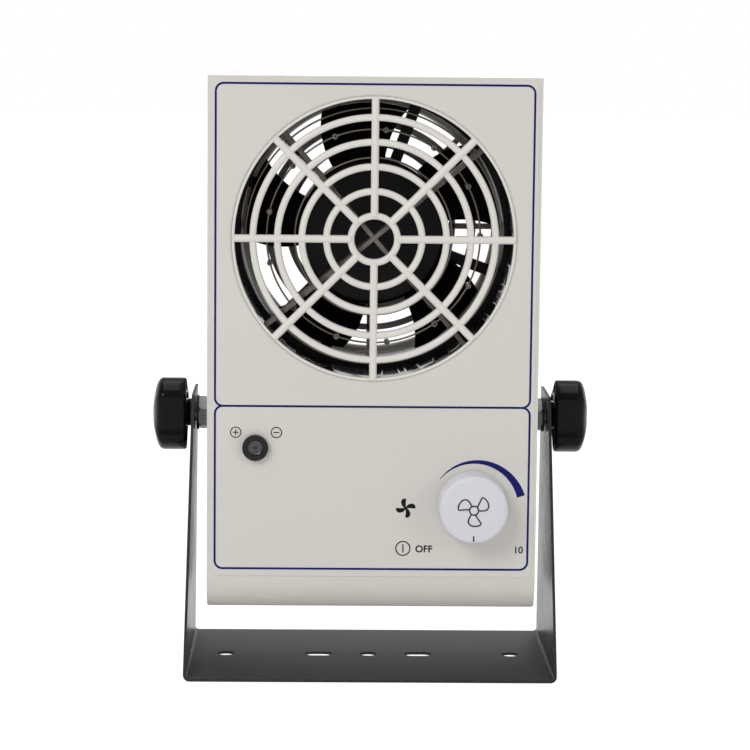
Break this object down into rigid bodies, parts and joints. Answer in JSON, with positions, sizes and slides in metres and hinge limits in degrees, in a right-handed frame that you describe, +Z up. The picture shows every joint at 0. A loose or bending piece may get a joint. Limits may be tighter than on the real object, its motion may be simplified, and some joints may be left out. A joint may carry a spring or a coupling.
{
  "type": "ionizing blower",
  "caption": "Upright bench ionizing blower: cream casing with round fan grille, speed knob and indicator, tilting in a U-shaped black bracket held by hand knobs.",
  "frame": {"origin": "centre of the middle screw hole, on the underside of the bracket", "axes": "+X to the blower's right as seen from the front, +Y to its back, +Z up; at rest the casing stands upright"},
  "size_m": [0.1902, 0.1038, 0.2565],
  "materials": {
    "casing": "fine moulded texture",
    "label": "satin printed overlay",
    "bracket": "satin black paint",
    "duct": "gloss black",
    "carrier": "matt",
    "wire": "drawn wire",
    "socket": "satin",
    "needle": "ground point",
    "fan_plastic": "satin moulded",
    "steel": "ground",
    "winding": "enamelled",
    "dark_body": "matt",
    "zinc": "zinc plated",
    "speed_knob": "satin",
    "black_plastic": "gloss",
    "lens": "dark translucent",
    "lamp": "matt",
    "rubber": "matt",
    "board": "lacquered",
    "brass_post": "turned",
    "glass": "clear",
    "red_lead": "satin",
    "black_lead": "satin",
    "hand_knob": "gloss moulded"
  },
  "bodies": {
    "bracket": {"bracket": "bracket"},
    "fan": {"fan_rotor": "fan_plastic", "fan_shaft": "steel"},
    "speed": {"speed_knob": "speed_knob", "speed_shaft": "steel"},
    "left_washer": {"left_outer_washer": "rubber"},
    "right_washer": {"right_outer_washer": "rubber"},
    "left_knob": {"left_hand_knob": "hand_knob", "left_clamp_stud": "zinc"},
    "right_knob": {"right_hand_knob": "hand_knob", "right_clamp_stud": "zinc"},
    "fuse_drawer": {"fuse_drawer": "black_plastic", "fuse": "glass"},
    "casing": {"front_cover": "casing", "front_grille": "casing", "face_label": "label", "rear_cover": "casing", "rear_grille": "casing", "emitter_duct": "duct", "carrier_strip_a": "carrier", "carrier_strip_b": "carrier", "inner_guard_wire": "wire", "emitter_wire": "wire", "outer_guard_wire": "wire", "pin_sockets": "socket", "emitter_needles": "needle", "fan_frame": "fan_plastic", "fan_spider": "fan_plastic", "fan_bearings": "steel", "fan_stator": "winding", "fan_screws": "zinc", "speed_control": "dark_body", "speed_nut": "zinc", "indicator_bezel": "black_plastic", "indicator_lens": "lens", "indicator_lamp": "lamp", "indicator_nut": "black_plastic", "hv_transformer": "dark_body", "transformer_screws": "zinc", "control_board": "board", "board_parts": "dark_body", "board_standoffs": "brass_post", "board_screws": "zinc", "power_inlet": "black_plastic", "casing_screws": "zinc", "hv_lead": "red_lead", "fan_lead": "black_lead", "left_pivot_plate": "zinc", "left_hex_spacer": "zinc", "left_friction_washer": "rubber", "right_pivot_plate": "zinc", "right_hex_spacer": "zinc", "right_friction_washer": "rubber"}
  },
  "joints": [
    {"name": "casing_tilt", "type": "hinge", "parent": "bracket", "child": "casing", "pos_m": [0, 0, 0.109], "axis": [1, 0, 0], "range_deg": [-110, 110]},
    {"name": "fan_spin", "type": "hinge", "parent": "casing", "child": "fan", "pos_m": [0, 0.02, 0.1885], "axis": [0, -1, 0], "continuous": true},
    {"name": "speed_turn", "type": "hinge", "parent": "casing", "child": "speed", "pos_m": [0.0428, -0.0415, 0.0758], "axis": [0, 1, 0], "range_deg": [0, 300]},
    {"name": "fuse_drawer_slide", "type": "slide", "parent": "casing", "child": "fuse_drawer", "axis": [0, 1, 0], "range_m": [0, 0.012]},
    {"name": "left_washer_slide", "type": "slide", "parent": "casing", "child": "left_washer", "axis": [-1, 0, 0], "range_m": [0, 0.00125]},
    {"name": "left_knob_turn", "type": "hinge", "parent": "left_washer", "child": "left_knob", "pos_m": [-0.085, 0, 0.109], "axis": [-1, 0, 0], "range_deg": [0, 360]},
    {"name": "right_washer_slide", "type": "slide", "parent": "casing", "child": "right_washer", "axis": [1, 0, 0], "range_m": [0, 0.00125]},
    {"name": "right_knob_turn", "type": "hinge", "parent": "right_washer", "child": "right_knob", "pos_m": [0.085, 0, 0.109], "axis": [1, 0, 0], "range_deg": [0, 360]}
  ],
  "couplings": [
    {"joint": "left_knob_turn", "follows": "left_washer_slide", "rad_per_m": 5026.5},
    {"joint": "right_knob_turn", "follows": "right_washer_slide", "rad_per_m": 5026.5}
  ]
}
